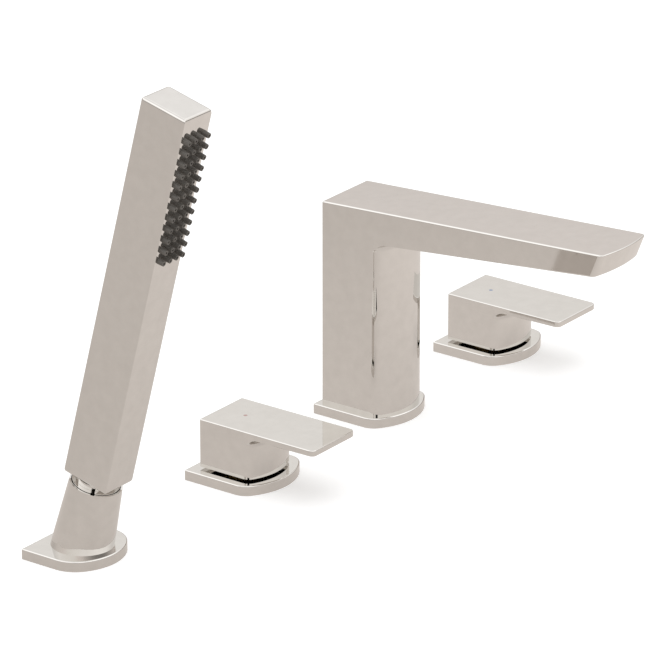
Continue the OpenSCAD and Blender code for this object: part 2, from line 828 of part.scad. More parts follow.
// Threaded inlet under the bar.
module handset_inlet_piece() {
    color(chrome) lean_frame() difference() {
        union() {
            translate([0, 0, bar_z]) cylinder(r = plug_r, h = plug_h);
            translate([0, 0, inlet_z]) cylinder(r = tail_r, h = bar_z - inlet_z);
        }
        translate([0, 0, inlet_z - 1]) cylinder(r = inlet_bore, h = bar_z - inlet_z + plug_h + 2);
    }
}

// Conical nut on the hose's end: its collar rests on the holder's liner.
module cone_nut() {
    color(chrome) lean_frame() difference() {
        union() {
            translate([0, 0, liner_top]) cylinder(r = cone_r + collar_w, h = collar_h);
            translate([0, 0, cone_z]) cylinder(r1 = cone_r - cone_taper, r2 = cone_r, h = cone_h);
            translate([0, 0, nut_z]) cylinder(r = cone_r - cone_taper - 0.3, h = nut_len);
        }
        translate([0, 0, washer_z]) cylinder(r = socket_r, h = nut_top - washer_z + 1);
        translate([0, 0, nut_z - 1]) cylinder(r = hose_bore, h = nut_len);
    }
}

module hose_washer_piece() {
    color(rubber) lean_frame() translate([0, 0, washer_z])
        tube(socket_r - 0.1, inlet_bore + 0.5, hose_washer_t);
}

module at_hot() { translate([-hot_pitch, 0, 0]) children(); }
module at_cold() { translate([cold_pitch, 0, 0]) children(); }
module at_holder() { translate([-holder_pitch, holder_setback, 0]) children(); }

module hot_lever() { at_hot() lever(); }
module hot_spot() { at_hot() index_spot(red); }
module hot_grub_screw() { at_hot() grub_screw(); }
module hot_adapter() { at_hot() adapter(); }
module hot_spindle() { at_hot() spindle(); }
module hot_spindle_ring() { at_hot() spindle_ring(); }
module hot_moving_disc() { at_hot() moving_disc(); }
module hot_fixed_disc() { at_hot() fixed_disc(); }
module hot_disc_seal() { at_hot() disc_seal(); }
module hot_cartridge() { at_hot() cartridge(); }
module hot_plate() { at_hot() straight_plate(neck_r); }
module hot_plate_seal() { at_hot() base_seal(); }
module hot_valve_body() { at_hot() valve_body(1); }
module hot_clamp_ring() { at_hot() clamp_ring(); }
module hot_rubber_washer() { at_hot() rubber_washer(neck_r); }
module hot_steel_washer() { at_hot() steel_washer(neck_r); }
module hot_back_nut() { at_hot() back_nut(neck_r); }

module cold_lever() { at_cold() lever(); }
module cold_spot() { at_cold() index_spot(blue); }
module cold_grub_screw() { at_cold() grub_screw(); }
module cold_adapter() { at_cold() adapter(); }
module cold_spindle() { at_cold() spindle(); }
module cold_spindle_ring() { at_cold() spindle_ring(); }
module cold_moving_disc() { at_cold() moving_disc(); }
module cold_fixed_disc() { at_cold() fixed_disc(); }
module cold_disc_seal() { at_cold() disc_seal(); }
module cold_cartridge() { at_cold() cartridge(); }
module cold_plate() { at_cold() straight_plate(neck_r); }
module cold_plate_seal() { at_cold() base_seal(); }
module cold_valve_body() { at_cold() valve_body(-1); }
module cold_clamp_ring() { at_cold() clamp_ring(); }
module cold_rubber_washer() { at_cold() rubber_washer(neck_r); }
module cold_steel_washer() { at_cold() steel_washer(neck_r); }
module cold_back_nut() { at_cold() back_nut(neck_r); }

module spout_plate() { straight_plate(tail_r); }
module spout_plate_seal() { base_seal(); }
module spout_riser() { riser(); }
module spout_rubber_washer() { rubber_washer(tail_r); }
module spout_steel_washer() { steel_washer(tail_r); }
module spout_back_nut() { back_nut(tail_r); }
module spout_insert_shell() { insert_shell(); }
module spout_insert_grid() { insert_grid(); }
module spout_insert_ring() { insert_ring(); }

module handset_holder() { at_holder() holder_tube(); }
module holder_plate() {
    at_holder() base_plate(holder_plate_w, holder_plate_back, holder_plate_front, holder_plate_corner_r,
        holder_plate_front_r, holder_tube_r);
}
module holder_plate_seal() { at_holder() base_seal(); }
module holder_bush() { at_holder() holder_liner(); }
module holder_threaded_tube() { at_holder() holder_tail(); }
module holder_rubber_washer() { at_holder() rubber_washer(holder_tube_r); }
module holder_steel_washer() { at_holder() steel_washer(holder_tube_r); }
module holder_back_nut() { at_holder() back_nut(holder_tube_r); }
module handset_bar() { at_holder() handset_body(); }
module handset_spray_plate() { at_holder() spray_plate(); }
module handset_nozzles() { at_holder() nozzle_mat(); }
module handset_inlet() { at_holder() handset_inlet_piece(); }
module hose_nut() { at_holder() cone_nut(); }
module hose_washer() { at_holder() hose_washer_piece(); }

spout_body();
spout_plate();
spout_plate_seal();
spout_riser();
spout_rubber_washer();
spout_steel_washer();
spout_back_nut();
spout_insert_shell();
spout_insert_grid();
spout_insert_ring();
hot_lever();
hot_spot();
hot_grub_screw();
hot_adapter();
hot_spindle();
hot_spindle_ring();
hot_moving_disc();
hot_fixed_disc();
hot_disc_seal();
hot_cartridge();
hot_plate();
hot_plate_seal();
hot_valve_body();
hot_clamp_ring();
hot_rubber_washer();
hot_steel_washer();
hot_back_nut();
cold_lever();
cold_spot();
cold_grub_screw();
cold_adapter();
cold_spindle();
cold_spindle_ring();
cold_moving_disc();
cold_fixed_disc();
cold_disc_seal();
cold_cartridge();
cold_plate();
cold_plate_seal();
cold_valve_body();
cold_clamp_ring();
cold_rubber_washer();
cold_steel_washer();
cold_back_nut();
handset_holder();
holder_plate();
holder_plate_seal();
holder_bush();
holder_threaded_tube();
holder_rubber_washer();
holder_steel_washer();
holder_back_nut();
handset_bar();
handset_spray_plate();
handset_nozzles();
handset_inlet();
hose_nut();
hose_washer();
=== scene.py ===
# %% [markdown]
# # A deck-mounted bath shower mixer in polished chrome
# Two lever valves, a bath spout and a bar handset in a leaning holder stand on the rim of a bath. The
# solids come from the CAD model, already in place and in metres, so this script gives them their
# finishes, softens their edges, and builds the small studio they are photographed in.

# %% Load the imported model
import json
import math

import bmesh
import bpy
from mathutils import Matrix, Vector


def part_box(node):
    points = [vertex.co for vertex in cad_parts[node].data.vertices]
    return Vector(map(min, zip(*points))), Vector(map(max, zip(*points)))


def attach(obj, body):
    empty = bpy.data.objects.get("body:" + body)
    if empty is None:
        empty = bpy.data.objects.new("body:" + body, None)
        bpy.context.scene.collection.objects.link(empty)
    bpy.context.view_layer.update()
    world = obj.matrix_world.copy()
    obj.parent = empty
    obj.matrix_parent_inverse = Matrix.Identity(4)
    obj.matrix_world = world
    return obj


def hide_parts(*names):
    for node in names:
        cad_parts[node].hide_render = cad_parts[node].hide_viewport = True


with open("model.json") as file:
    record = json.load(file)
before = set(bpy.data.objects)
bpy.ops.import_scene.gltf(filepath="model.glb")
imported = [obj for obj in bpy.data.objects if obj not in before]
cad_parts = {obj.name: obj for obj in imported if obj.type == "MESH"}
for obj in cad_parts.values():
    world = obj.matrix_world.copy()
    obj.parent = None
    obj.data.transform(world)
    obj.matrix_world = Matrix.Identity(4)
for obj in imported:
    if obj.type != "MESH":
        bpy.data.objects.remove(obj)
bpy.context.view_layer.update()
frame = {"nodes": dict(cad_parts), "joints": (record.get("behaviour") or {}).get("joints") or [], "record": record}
nodes = frame["nodes"]
MM = 0.001

# %% [markdown]
# ## The camera
# The photograph was taken with a long lens from the left front, looking down by about 22 degrees. A
# long lens keeps the four units nearly the same scale. The view is set by two angles, the distance and
# a small sideways shift of the aim, all measured on the photograph's straight edges.

# %% Camera at the photograph's angle
AZIMUTH = math.radians(-53.56)
ELEVATION = math.radians(21.717)
DISTANCE = 2.976
SENSOR = 36
LENS = 294.3
AIM_RIGHT = -0.000335
AIM_UP = 0.035443
AIM_BASE = Vector((-0.0005, 0.0264, 0))
NEAREST = 0.05
FARTHEST = 60

right = Vector((math.cos(AZIMUTH), math.sin(AZIMUTH), 0))
towards_camera = Vector((
    math.sin(AZIMUTH) * math.cos(ELEVATION),
    -math.cos(AZIMUTH) * math.cos(ELEVATION),
    math.sin(ELEVATION),
))
up = towards_camera.cross(right)
eye = AIM_BASE + right * AIM_RIGHT + up * AIM_UP + towards_camera * DISTANCE

camera_data = bpy.data.cameras.new("long_lens")
camera_data.lens = LENS
camera_data.sensor_width = SENSOR
camera_data.clip_start = NEAREST
camera_data.clip_end = FARTHEST
camera = bpy.data.objects.new("camera", camera_data)
camera.matrix_world = Matrix((
    (right.x, up.x, towards_camera.x, eye.x),
    (right.y, up.y, towards_camera.y, eye.y),
    (right.z, up.z, towards_camera.z, eye.z),
    (0, 0, 0, 1),
))
bpy.context.scene.collection.objects.link(camera)
bpy.context.scene.camera = camera
print("camera stands at", [round(v, 3) for v in eye])

# %% [markdown]
# ## Helpers for node materials
# Every finish is a node material. Its pattern is placed by the piece's own coordinates in metres, so it
# has the same grain on every piece and rides along when a lever turns. The helpers below add a node,
# link it and set its plain numbers, which keeps the recipes that follow short.

# %% Helpers that build a node material
def new_finish(name):
    material = bpy.data.materials.new(name)
    material.use_nodes = True
    shader = material.node_tree.nodes["Principled BSDF"]
    return material, shader


def add(material, kind, **sockets):
    node = material.node_tree.nodes.new(kind)
    for name, value in sockets.items():
        node.inputs[name.replace("_", " ")].default_value = value
    return node


def join(material, out, into):
    material.node_tree.links.new(out, into)


def grain(material, scale, stretch=(1, 1, 1), detail=3.0):
    """A noise in the piece's own space, with scale in grains per metre."""
    place = add(material, "ShaderNodeTexCoord")
    spread = add(material, "ShaderNodeMapping")
    spread.inputs["Scale"].default_value = stretch
    noise = add(material, "ShaderNodeTexNoise", Scale=scale, Detail=detail)
    join(material, place.outputs["Object"], spread.inputs["Vector"])
    join(material, spread.outputs["Vector"], noise.inputs["Vector"])
    return noise.outputs["Fac"]


def ramp(material, source, low, high, start=0.3, end=0.7):
    """Maps a pattern to a band of numbers."""
    node = add(material, "ShaderNodeMapRange")
    node.inputs["From Min"].default_value = start
    node.inputs["From Max"].default_value = end
    node.inputs["To Min"].default_value = low
    node.inputs["To Max"].default_value = high
    join(material, source, node.inputs["Value"])
    return node.outputs["Result"]


def tint(material, source, dark, light, start=0.3, end=0.7):
    """Maps a pattern to a mix of two colours."""
    node = add(material, "ShaderNodeValToRGB")
    node.color_ramp.elements[0].position = start
    node.color_ramp.elements[1].position = end
    node.color_ramp.elements[0].color = (*dark, 1)
    node.color_ramp.elements[1].color = (*light, 1)
    join(material, source, node.inputs["Fac"])
    return node.outputs["Color"]


def relief(material, source, height, under=None):
    """A bump of that height in metres, on top of another one."""
    node = add(material, "ShaderNodeBump", Strength=1.0, Distance=height)
    join(material, source, node.inputs["Height"])
    if under is not None:
        join(material, under, node.inputs["Normal"])
    return node.outputs["Normal"]


print("helpers ready")

# %% [markdown]
# ## Polished chrome
# Chrome plating is a mirror with a faintly warm grey tint. What makes it look like metal and not like
# grey paint is what it reflects, so most of the work is in the studio further down. The plating still
# has life of its own: the polishing wheel leaves a very long, shallow waviness that bends reflections a
# little, and the gloss varies softly from place to place.

# %% Chrome plating
CHROME_DARK = (0.700, 0.680, 0.655)
CHROME_LIGHT = (0.735, 0.715, 0.690)
CHROME_GLOSS = (0.028, 0.052)
WHEEL_GRAINS = 22
CLOUD_GRAINS = 160
FINE_GRAINS = 5200
WHEEL_WAVE = 0.03 * MM
FINE_WAVE = 0.00005 * MM


def chrome_finish(name):
    material, shader = new_finish(name)
    shader.inputs["Metallic"].default_value = 1.0
    wheel = grain(material, WHEEL_GRAINS, detail=2)
    cloud = grain(material, CLOUD_GRAINS, detail=4)
    fine = grain(material, FINE_GRAINS, detail=2)
    join(material, tint(material, cloud, CHROME_DARK, CHROME_LIGHT), shader.inputs["Base Color"])
    join(material, ramp(material, cloud, *CHROME_GLOSS), shader.inputs["Roughness"])
    polished = relief(material, wheel, WHEEL_WAVE)
    join(material, relief(material, fine, FINE_WAVE, polished), shader.inputs["Normal"])
    return material


chrome = chrome_finish("polished_chrome")
print("made", chrome.name)

# %% [markdown]
# ## Machined brass and its threads
# The bodies, tubes and nuts under the deck are turned brass. The lathe leaves fine rings round each
# piece, which a noise squeezed along the height imitates. A thread could be cut into the mesh, but it
# sits under the deck, so a ridge pattern in the bump is enough. It has the pitch of a half-inch pipe
# thread and stops where the tail of the valve ends.

# %% Brass
LATHE_GRAINS = 60
RING_SQUEEZE = 60
RING_HEIGHT = 0.015 * MM
STAIN_GRAINS = 90
THREAD_PITCH = 1.814 * MM
THREAD_DEPTH = 0.5 * MM
THREAD_TAIL = 18 * MM
WAVE_AT_SCALE_ONE = math.tau / 20


def turned_finish(name, dark, light, rough):
    material, shader = new_finish(name)
    shader.inputs["Metallic"].default_value = 1.0
    rings = grain(material, LATHE_GRAINS, stretch=(1, 1, RING_SQUEEZE), detail=3)
    stain = grain(material, STAIN_GRAINS, detail=5)
    join(material, tint(material, stain, dark, light), shader.inputs["Base Color"])
    join(material, ramp(material, rings, *rough), shader.inputs["Roughness"])
    join(material, relief(material, rings, RING_HEIGHT), shader.inputs["Normal"])
    return material


def threaded_finish(name, dark, light, rough, top):
    """Turned metal that carries a thread below the height top."""
    material = turned_finish(name, dark, light, rough)
    shader = material.node_tree.nodes["Principled BSDF"]
    under = shader.inputs["Normal"].links[0].from_socket
    place = add(material, "ShaderNodeTexCoord")
    wave = add(material, "ShaderNodeTexWave", Scale=WAVE_AT_SCALE_ONE / THREAD_PITCH)
    wave.bands_direction = "Z"
    wave.wave_profile = "TRI"
    height = add(material, "ShaderNodeSeparateXYZ")
    below = add(material, "ShaderNodeMath")
    below.operation = "LESS_THAN"
    below.inputs[1].default_value = top
    cut = add(material, "ShaderNodeMath")
    cut.operation = "MULTIPLY"
    join(material, place.outputs["Object"], wave.inputs["Vector"])
    join(material, place.outputs["Object"], height.inputs["Vector"])
    join(material, height.outputs["Z"], below.inputs[0])
    join(material, wave.outputs["Fac"], cut.inputs[0])
    join(material, below.outputs["Value"], cut.inputs[1])
    join(material, relief(material, cut.outputs["Value"], THREAD_DEPTH, under), shader.inputs["Normal"])
    return material


BRASS = ((0.50, 0.33, 0.11), (0.66, 0.47, 0.19), (0.22, 0.38))
STEEL = ((0.42, 0.42, 0.42), (0.55, 0.55, 0.56), (0.25, 0.42))
brass = turned_finish("turned_brass", *BRASS)
tail_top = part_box("hot_valve_body")[0].z + THREAD_TAIL
threaded_brass = threaded_finish("threaded_brass", *BRASS, tail_top)
steel = turned_finish("turned_steel", *STEEL)
print("thread below", round(tail_top, 4))

# %% [markdown]
# ## Rubber, ceramic and plastic
# The nozzles and seals are moulded silicone and rubber, matt with a fine grain. The discs that shut the
# water off are lapped ceramic. The cartridges are white moulded plastic, and the small spots on the
# levers are glossy enamel that lies in a shallow recess.

# %% Moulded finishes
BROAD_GRAINS = 70
ENAMEL_GLOSS = (0.15, 0.25)
ENAMEL_GRAINS = 1500


def moulded_finish(name, dark, light, rough, speck_grains=900, height=0.01 * MM):
    material, shader = new_finish(name)
    speck = grain(material, speck_grains, detail=4)
    broad = grain(material, BROAD_GRAINS, detail=2)
    join(material, tint(material, broad, dark, light), shader.inputs["Base Color"])
    join(material, ramp(material, speck, *rough), shader.inputs["Roughness"])
    join(material, relief(material, speck, height), shader.inputs["Normal"])
    return material


black_rubber = moulded_finish("seal_rubber", (0.012, 0.012, 0.012), (0.025, 0.024, 0.023), (0.6, 0.85))
nozzle_rubber = moulded_finish("nozzle_silicone", (0.090, 0.083, 0.075), (0.135, 0.125, 0.113),
                               (0.42, 0.60), 2600, 0.006 * MM)
ceramic = moulded_finish("lapped_ceramic", (0.72, 0.70, 0.66), (0.80, 0.78, 0.74), (0.12, 0.22), 3000,
                         0.002 * MM)
white_plastic = moulded_finish("cartridge_plastic", (0.66, 0.66, 0.63), (0.74, 0.74, 0.71), (0.4, 0.55))
dark_plastic = moulded_finish("liner_plastic", (0.010, 0.010, 0.011), (0.020, 0.020, 0.022), (0.3, 0.5))
red_enamel = moulded_finish("red_enamel", (0.42, 0.26, 0.24), (0.48, 0.31, 0.29), ENAMEL_GLOSS,
                            ENAMEL_GRAINS, 0.003 * MM)
blue_enamel = moulded_finish("blue_enamel", (0.24, 0.30, 0.42), (0.29, 0.35, 0.48), ENAMEL_GLOSS,
                             ENAMEL_GRAINS, 0.003 * MM)
print("moulded finishes ready")

# %% [markdown]
# ## Dressing the solids
# The record names the material slot of every piece, so one loop gives each solid its finish. The bodies
# and tubes that screw into a pipe or a nut get the brass that carries a thread.

# %% Finishes by slot
FINISHES = {
    "chrome_plate": chrome,
    "plain_brass": brass,
    "steel": steel,
    "black_rubber": black_rubber,
    "grey_rubber": nozzle_rubber,
    "ceramic": ceramic,
    "white_plastic": white_plastic,
    "dark_plastic": dark_plastic,
    "red_mark": red_enamel,
    "blue_mark": blue_enamel,
}
THREADED = ("hot_valve_body", "cold_valve_body", "spout_riser", "holder_threaded_tube")

for row in frame["record"]["subparts"]:
    name, slot = row["node"], row["material_slot"]
    piece = nodes[name]
    piece.data.materials.clear()
    piece.data.materials.append(threaded_brass if name in THREADED else FINISHES[slot])

# %% [markdown]
# ## How the castings are made
# The spout, levers, plates and handset are castings with flat faces, round corners and softly rounded
# edges. The CAD solids say where every face lies, but their edges are sharp and their curves coarse,
# which shows at once in a mirror finish. So each visible casting is built again as a clean mesh: flat
# faces stay single polygons, curved walls are strips of narrow ones, and a bevel rounds the edges where
# they meet. Each mesh is welded from lists of points and marks its own real edges, so that the joints inside
# a curved wall stay smooth. Sizes that the frame knows are read from it, and only radii and wall sizes
# are written here.

# %% A closed mesh with its edges marked
WELD = 0.002 * MM
SAME_POINT = 0.01 * MM
FLAT_TURN = 8
FULL_TURN = 30


def joined(name, faces, rounded=True, crisp=()):
    """One closed mesh from faces that are lists of points.

    Its real edges are marked for rounding, all but those that run between crisp points.
    """
    sheet = bmesh.new()
    for face in faces:
        sheet.faces.new([sheet.verts.new(point) for point in face])
    bmesh.ops.remove_doubles(sheet, verts=sheet.verts, dist=WELD)
    bmesh.ops.recalc_face_normals(sheet, faces=sheet.faces)
    weight = sheet.edges.layers.float.new("bevel_weight_edge")
    held = {corner for corner in sheet.verts
            if any((corner.co - Vector(point)).length < SAME_POINT for point in crisp)}
    for edge in sheet.edges:
        turn = math.degrees(edge.calc_face_angle(0.0))
        if rounded and not held.issuperset(edge.verts):
            edge[weight] = min(1.0, max(0.0, (turn - FLAT_TURN) / (FULL_TURN - FLAT_TURN)))
    mesh = bpy.data.meshes.new(name)
    sheet.to_mesh(mesh)
    sheet.free()
    piece = bpy.data.objects.new(name, mesh)
    bpy.context.scene.collection.objects.link(piece)
    return piece


def strip(first, second, closed=False):
    """Four-sided faces between two rows of points."""
    rows = list(zip(first, second))
    after = rows[1:] + (rows[:1] if closed else [])
    return [[a, b, d, c] for (a, b), (c, d) in zip(rows, after)]


print("edges that turn more than", FLAT_TURN, "degrees are marked")

# %% [markdown]
# ## The rounded front
# Plates, levers and the column share one outline: a straight side, a small corner arc and a wide front
# arc that touch each other without a kink. The arcs are worked out from their radii, so one function
# serves them all. Where a casting flares, both arcs grow outwards by the same amount and are cut off at
# the flat side. A drum is the round cutter for holes.

# %% Outlines and round cutters
CORNER_STEPS = 14
FRONT_STEPS = 26
DRUM_SIDES = 64
SMALL_SIDES = 32


def rounded_front(width, front, corner_r, front_r, flare=0.0):
    """Points of a rounded front from the left side to the right one, swollen outwards by a flare."""
    reach = front_r - corner_r
    corner_x = width / 2 - corner_r
    turn = math.asin(corner_x / reach)
    middle_y = front_r - front
    corner_y = middle_y - reach * math.cos(turn)
    end = math.asin(corner_r / (corner_r + flare))
    row = []
    swollen = corner_r + flare
    for i in range(CORNER_STEPS):
        a = end + (turn - end) * i / CORNER_STEPS
        row.append((-corner_x - swollen * math.sin(a), corner_y - swollen * math.cos(a)))
    swollen = front_r + flare
    for i in range(FRONT_STEPS + 1):
        a = turn * (2 * i / FRONT_STEPS - 1)
        row.append((swollen * math.sin(a), middle_y - swollen * math.cos(a)))
    return row + [(-x, y) for x, y in reversed(row[:CORNER_STEPS])]


def drum(name, place, radius, low, high, sides=DRUM_SIDES):
    """Round cutter along the third axis of a place."""
    rings = [[place @ Vector((radius * math.cos(a), radius * math.sin(a), z))
              for a in (math.tau * i / sides for i in range(sides))] for z in (low, high)]
    return joined(name, strip(*rings, closed=True) + rings, rounded=False)


print("a rounded front has", 2 * CORNER_STEPS + FRONT_STEPS + 1, "points")

# %% [markdown]
# ## Holes and soft edges
# Holes are taken out with a boolean that is applied at once, so the mesh is final before its edges are
# rounded. The bevel then works only on the marked edges, and the rims of holes stay sharp as drilled
# ones are. Weighted normals keep the flat faces flat to the eye, which a mirror needs. A finished casting
# rides on the body of the solid that it stands for and takes that solid's place.

# %% Holes, soft edges and hand-over
BEYOND = 1 * MM
SHARP_FROM = math.radians(35)
EDGE_SEGMENTS = 4
FLATNESS = 60


def carve(piece, cutter):
    """Takes the cutter out of the piece for good."""
    cut = piece.modifiers.new("carve", "BOOLEAN")
    cut.operation = "DIFFERENCE"
    cut.solver = "EXACT"
    cut.object = cutter
    seen = piece.evaluated_get(bpy.context.evaluated_depsgraph_get())
    carved = bpy.data.meshes.new_from_object(seen)
    piece.modifiers.clear()
    old, piece.data = piece.data, carved
    carved.name = piece.name
    bpy.data.meshes.remove(old)
    bpy.data.objects.remove(cutter)


def round_edges(piece, width):
    """Rounds the marked edges, and keeps the rims of carved holes sharp."""
    sheet = bmesh.new()
    sheet.from_mesh(piece.data)
    weight = sheet.edges.layers.float["bevel_weight_edge"]
    for edge in sheet.edges:
        edge.smooth = edge[weight] > 0 or edge.calc_face_angle(0.0) < SHARP_FROM
    for face in sheet.faces:
        face.smooth = True
    sheet.to_mesh(piece.data)
    sheet.free()
    bevel = piece.modifiers.new("round_edges", "BEVEL")
    bevel.width = width
    bevel.segments = EDGE_SEGMENTS
    bevel.limit_method = "WEIGHT"
    bevel.use_clamp_overlap = False
    shade = piece.modifiers.new("flat_faces_stay_flat", "WEIGHTED_NORMAL")
    shade.weight = FLATNESS
    shade.keep_sharp = True


def finish_casting(piece, node, edge):
    piece.data.materials.append(chrome)
    round_edges(piece, edge)
    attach(piece, body_of[node])
    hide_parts(node)


bodies = frame["record"]["behaviour"]["bodies"]
body_of = {name: body for body, names in bodies.items() for name in names}
joint = {row["name"]: row for row in frame["joints"]}
hot_axis = Vector(joint["hot_turn"]["pos_m"])
cold_axis = Vector(joint["cold_turn"]["pos_m"])
print("valves stand at", round(hot_axis.x, 3), "and", round(cold_axis.x, 3))

# %% [markdown]
# ## Base plates
# Each unit stands on a flat plate with a square rear, straight sides and a rounded front. A plate is one
# outline raised to its thickness, with a hole for the neck and a groove for its seal. The polished top
# edge is rounded by nearly a millimetre, and that is where the thin bright and dark lines run.

# %% Base plates
PLATE_EDGE = 0.8 * MM
PLATE_CORNER_R = 10 * MM
PLATE_FRONT_R = 35 * MM
HOLDER_CORNER_R = 17.6 * MM
HOLDER_FRONT_R = 28.6 * MM
SPOUT_NECK_R = 10.68 * MM
VALVE_NECK_R = 11.2 * MM
HOLDER_NECK_R = 14.2 * MM
SEAL_GROOVE_R = 18.9 * MM
SEAL_INSIDE_R = 15.9 * MM
SEAL_HEIGHT = 2 * MM


def base_plate(node, axis, corner_r, front_r, neck_r):
    low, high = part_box(node)
    front = [(x + axis.x, y + axis.y)
             for x, y in rounded_front(high.x - low.x, axis.y - low.y, corner_r, front_r)]
    outline = [(low.x, high.y)] + front + [(high.x, high.y)]
    foot = [(x, y, low.z) for x, y in outline]
    top = [(x, y, high.z) for x, y in outline]
    piece = joined(node + "_casting", strip(foot, top, closed=True) + [foot, top], crisp=foot)
    place = Matrix.Translation((axis.x, axis.y, 0))
    carve(piece, drum("neck_hole", place, neck_r, low.z - BEYOND, high.z + BEYOND))
    groove = drum("groove", place, SEAL_GROOVE_R, low.z - BEYOND, low.z + SEAL_HEIGHT)
    carve(groove, drum("groove_core", place, SEAL_INSIDE_R, low.z - 2 * BEYOND, low.z + 2 * SEAL_HEIGHT))
    carve(piece, groove)
    finish_casting(piece, node, PLATE_EDGE)
    print(node, "reaches back", round((high.y - axis.y) / MM, 1), "mm")


spout_axis = Vector((0, 0, 0))
holder_foot = Vector(joint["handset_swivel"]["pos_m"])
base_plate("spout_plate", spout_axis, PLATE_CORNER_R, PLATE_FRONT_R, SPOUT_NECK_R)
base_plate("hot_plate", hot_axis, PLATE_CORNER_R, PLATE_FRONT_R, VALVE_NECK_R)
base_plate("cold_plate", cold_axis, PLATE_CORNER_R, PLATE_FRONT_R, VALVE_NECK_R)
base_plate("holder_plate", holder_foot, HOLDER_CORNER_R, HOLDER_FRONT_R, HOLDER_NECK_R)

# %% [markdown]
# ## A block that flares into an arm
# Levers and spout share one form: a block with a rounded front that turns into a flat arm above it. A
# hollow fillet joins the two. It could be carved, but a carved fillet meets the corners badly, so the
# front is made as a stack of outlines that swell along a quarter circle up to the arm's underside. The
# sides stay flat all the way, which leaves a soft arch where the fillet meets them.

# %% Flared castings
FLARE_STEPS = 10


def flared_rows(width, front, corner_r, front_r, fillet, ceiling):
    """Rows of a rounded front that swells along a quarter circle up to a ceiling, a function of y."""
    rows = []
    for i in range(FLARE_STEPS + 1):
        a = math.pi / 2 * i / FLARE_STEPS
        row = rounded_front(width, front, corner_r, front_r, fillet * (1 - math.cos(a)))
        rows.append([(x, y, ceiling(y) - fillet * (1 - math.sin(a))) for x, y in row])
    return rows


def flared_casting(name, foot_z, rear_y, rows, nose_low, nose_high, rear_high):
    """A block that flares into an arm, from its fillet's rows and its nose's two outlines."""
    left, right = rows[0][0][0], rows[0][-1][0]
    foot = [(x, y, foot_z) for x, y, z in rows[0]]
    heels = [(left, rear_y, foot_z), (right, rear_y, foot_z)]
    faces = strip(foot, rows[0])
    for first, second in zip(rows, rows[1:]):
        faces += strip(first, second)
    faces += strip(nose_low, nose_high)
    faces.append(foot + list(reversed(heels)))
    faces.append(rows[-1] + list(reversed(nose_low)))
    faces.append(nose_high + [(right, rear_y, rear_high), (left, rear_y, rear_high)])
    faces.append(heels + [(right, rear_y, rear_high), (left, rear_y, rear_high)])
    for side, end in ((left, 0), (right, -1)):
        profile = [(side, rear_y, foot_z), foot[end]] + [row[end] for row in rows]
        faces.append(profile + [nose_low[end], nose_high[end], (side, rear_y, rear_high)])
    arches = [row[end] for row in rows for end in (0, -1)]
    return joined(name, faces, crisp=arches + foot + heels)


print("a fillet has", FLARE_STEPS, "steps")

# %% [markdown]
# ## Levers
# A lever is one casting: a block that hides the valve, and a thin flat blade that runs out over the
# front as the grip, with small round corners at its tip. Below it has a cavity for the valve's neck and
# a bore for the adapter, above a shallow recess for the coloured spot, and behind the hole of the grub
# screw. It is built on the centre line and then moved to its valve.

# %% Levers
BLADE_T = 3.4 * MM
BLOCK_FRONT = 20.8 * MM
BLOCK_CORNER_R = 5.7 * MM
BLOCK_FRONT_R = 32.9 * MM
LEVER_FILLET = 6 * MM
TIP_R = 3.2 * MM
TIP_STEPS = 8
LEVER_EDGE = 0.7 * MM
CAVITY_R = 13.9 * MM
CAVITY_TOP = 18.3 * MM
ADAPTER_R = 6.5 * MM
SCREW_R = 2 * MM


def lever(node, axis):
    low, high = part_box(node)
    width = high.x - low.x
    blade_z = high.z - BLADE_T
    rows = flared_rows(width, BLOCK_FRONT, BLOCK_CORNER_R, BLOCK_FRONT_R, LEVER_FILLET, lambda y: blade_z)
    tip = [(-width / 2 + TIP_R * (1 - math.cos(a)), low.y - axis.y + TIP_R * (1 - math.sin(a)))
           for a in (math.pi / 2 * i / TIP_STEPS for i in range(TIP_STEPS + 1))]
    tip += [(-x, y) for x, y in reversed(tip)]
    piece = flared_casting(node + "_casting", low.z, high.y - axis.y, rows,
                           [(x, y, blade_z) for x, y in tip], [(x, y, high.z) for x, y in tip], high.z)
    upright = Matrix.Identity(4)
    adapter_low, adapter_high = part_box("hot_adapter")
    carve(piece, drum("cavity", upright, CAVITY_R, low.z - BEYOND, CAVITY_TOP))
    carve(piece, drum("adapter_bore", upright, ADAPTER_R, low.z, adapter_high.z))
    spot_low, spot_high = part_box("hot_spot")
    spot_r = (spot_high.x - spot_low.x) / 2
    carve(piece, drum("spot_recess", upright, spot_r, spot_low.z, high.z + BEYOND, SMALL_SIDES))
    screw_z = (adapter_low.z + adapter_high.z) / 2
    across = Matrix.Translation((0, 0, screw_z)) @ Matrix.Rotation(math.radians(-90), 4, "X")
    carve(piece, drum("screw_hole", across, SCREW_R, 0, high.y + BEYOND, SMALL_SIDES))
    piece.data.transform(Matrix.Translation((axis.x, 0, 0)))
    finish_casting(piece, node, LEVER_EDGE)


lever("hot_lever", hot_axis)
lever("cold_lever", cold_axis)

# %% [markdown]
# ## Spout
# The spout is made the same way as a lever, only taller: a hollow column whose rounded front flares into
# the underside of a long arm. The arm rises a little towards its nose and gets thinner, so its top and
# its underside are two sloping planes. Each plane is a function that gives the height over any place, so
# the fillet, the nose and the outlet can all be set against it.

# %% Sizes and planes of the spout
ARM_RISE = math.tan(math.radians(2.95))
COLUMN_FRONT = 23.9 * MM
COLUMN_CORNER_R = 6.5 * MM
COLUMN_FRONT_R = 33 * MM
SPOUT_FILLET = 5 * MM
ARM_ROOT_T = 18.4 * MM
ARM_TIP_T = 12.8 * MM
NOSE_SLANT = 5 * MM
NOSE_CORNER_R = 3.2 * MM
NOSE_FRONT_R = 84.5 * MM
SPOUT_EDGE = 1.0 * MM
COLUMN_WALL = 4 * MM
COLUMN_ROOF = 30 * MM
INSERT_RECESS = 7.4 * MM

